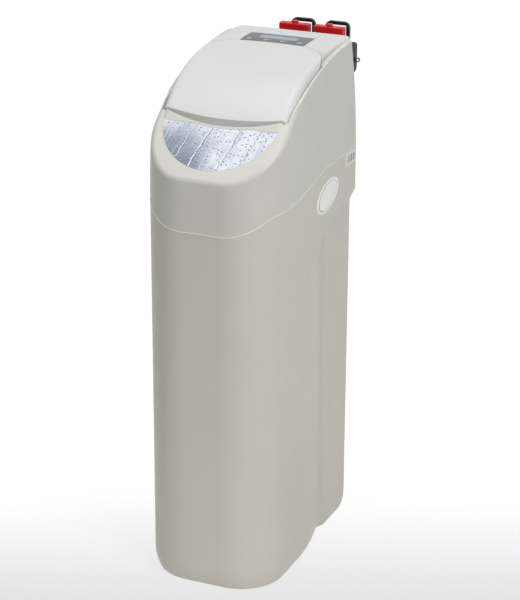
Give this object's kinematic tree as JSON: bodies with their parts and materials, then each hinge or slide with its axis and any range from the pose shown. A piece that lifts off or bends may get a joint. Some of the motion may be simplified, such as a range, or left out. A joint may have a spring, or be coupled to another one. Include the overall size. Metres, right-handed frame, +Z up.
{
  "type": "water softener",
  "caption": "Upright cabinet water softener with arched tipping salt lid, half-moon front insert, display with keys and rear bypass valve with lever handles.",
  "frame": {"origin": "on the floor, at the centre of the cabinet's plan", "axes": "+Z up, -Y the front with the half-moon insert, +X the right side with the badge"},
  "size_m": [0.291, 0.638, 1.0632],
  "materials": {
    "cabinet_taupe": "satin moulded polyethylene",
    "hood_grey": "satin moulded plastic",
    "lid_white": "satin moulded plastic",
    "insert_film": "printed film under clear gloss",
    "panel_slate": "semi-gloss overlay",
    "display_glass": "clear window over a grey display",
    "key_pale": "satin key caps",
    "strip_pale": "printed strip",
    "badge_white": "domed resin badge",
    "label_white": "plain sticker",
    "red_plastic": "glossy moulded plastic",
    "black_plastic": "black glass-filled plastic",
    "dark_grey_plastic": "dark grey glass-filled plastic",
    "tank_blue": "glass-fibre wound tank",
    "white_plastic": "white pipe plastic",
    "resin_amber": "bed of resin beads",
    "rubber_black": "black rubber",
    "gear_white": "natural acetal",
    "motor_steel": "plated steel",
    "board_green": "circuit board"
  },
  "bodies": {
    "appliance": {"cabinet": "cabinet_taupe", "hood": "hood_grey", "front_insert": "insert_film", "display_panel": "panel_slate", "display_window": "display_glass", "accent_strip": "strip_pale", "display_module": "board_green", "controller_board": "board_green", "side_badge": "badge_white", "rear_label": "label_white", "resin_tank": "tank_blue", "tank_boot": "black_plastic", "resin_bed": "resin_amber", "riser_tube": "white_plastic", "lower_strainer": "white_plastic", "upper_strainer": "white_plastic", "valve_body": "black_plastic", "seal_stack": "rubber_black", "drive_motor": "motor_steel", "drive_plate": "black_plastic", "drain_elbow": "black_plastic", "bypass_body": "black_plastic", "rotor_caps": "black_plastic", "union_nuts": "black_plastic", "pipe_adaptor_left": "dark_grey_plastic", "pipe_adaptor_right": "dark_grey_plastic", "salt_grid": "white_plastic", "brine_well": "white_plastic", "well_cap": "white_plastic", "float_valve": "white_plastic", "brine_line": "white_plastic", "overflow_elbow": "black_plastic", "overflow_nut": "black_plastic", "hood_screws": "motor_steel", "power_inlet": "rubber_black"},
    "lid": {"salt_lid": "lid_white"},
    "lever_left": {"bypass_lever_left": "red_plastic", "bypass_rotor_left": "black_plastic"},
    "lever_right": {"bypass_lever_right": "red_plastic", "bypass_rotor_right": "black_plastic"},
    "clip_left": {"port_clip_left": "black_plastic"},
    "clip_right": {"port_clip_right": "black_plastic"},
    "key_a": {"key_1": "key_pale"},
    "key_b": {"key_2": "key_pale"},
    "key_c": {"key_3": "key_pale"},
    "key_d": {"key_4": "key_pale"},
    "brine_float": {"float": "white_plastic"},
    "valve_piston": {"piston": "dark_grey_plastic"},
    "drive_gear": {"main_gear": "gear_white"},
    "drive_pinion": {"motor_pinion": "gear_white"}
  },
  "joints": [
    {"name": "lid_tilt", "type": "hinge", "parent": "appliance", "child": "lid", "pos_m": [0, 0.108, 1.0605], "axis": [-1, 0, 0], "range_deg": [0, 75]},
    {"name": "lever_left_turn", "type": "hinge", "parent": "appliance", "child": "lever_left", "pos_m": [-0.039, 0.321, 0.981], "axis": [0, 0, 1], "range_deg": [0, 90]},
    {"name": "lever_right_turn", "type": "hinge", "parent": "appliance", "child": "lever_right", "pos_m": [0.039, 0.321, 0.981], "axis": [0, 0, -1], "range_deg": [0, 90]},
    {"name": "clip_left_pull", "type": "slide", "parent": "appliance", "child": "clip_left", "axis": [0, 0, 1], "range_m": [0, 0.045]},
    {"name": "clip_right_pull", "type": "slide", "parent": "appliance", "child": "clip_right", "axis": [0, 0, 1], "range_m": [0, 0.045]},
    {"name": "float_rise", "type": "slide", "parent": "appliance", "child": "brine_float", "axis": [0, 0, 1], "range_m": [0, 0.5]},
    {"name": "gear_turn", "type": "hinge", "parent": "appliance", "child": "drive_gear", "pos_m": [0, 0.05, 0.981], "axis": [0, 1, 0], "range_deg": [0, 360]},
    {"name": "pinion_turn", "type": "hinge", "parent": "appliance", "child": "drive_pinion", "pos_m": [0.03876, 0.05, 0.96689], "axis": [0, 1, 0], "range_deg": [-1620, 0]},
    {"name": "piston_travel", "type": "slide", "parent": "appliance", "child": "valve_piston", "axis": [0, 1, 0], "range_m": [0, 0.024]},
    {"name": "key_a_press", "type": "slide", "parent": "appliance", "child": "key_a", "axis": [0, 0, -1], "range_m": [0, 0.0007], "stiffness_N_per_m": 300, "springref_m": -0.0006},
    {"name": "key_b_press", "type": "slide", "parent": "appliance", "child": "key_b", "axis": [0, 0, -1], "range_m": [0, 0.0007], "stiffness_N_per_m": 300, "springref_m": -0.0006},
    {"name": "key_c_press", "type": "slide", "parent": "appliance", "child": "key_c", "axis": [0, 0, -1], "range_m": [0, 0.0007], "stiffness_N_per_m": 300, "springref_m": -0.0006},
    {"name": "key_d_press", "type": "slide", "parent": "appliance", "child": "key_d", "axis": [0, 0, -1], "range_m": [0, 0.0007], "stiffness_N_per_m": 300, "springref_m": -0.0006}
  ],
  "couplings": [
    {"joint": "pinion_turn", "follows": "gear_turn", "ratio": -4.5},
    {"joint": "piston_travel", "follows": "gear_turn", "m_per_rad": 0.0038197}
  ]
}
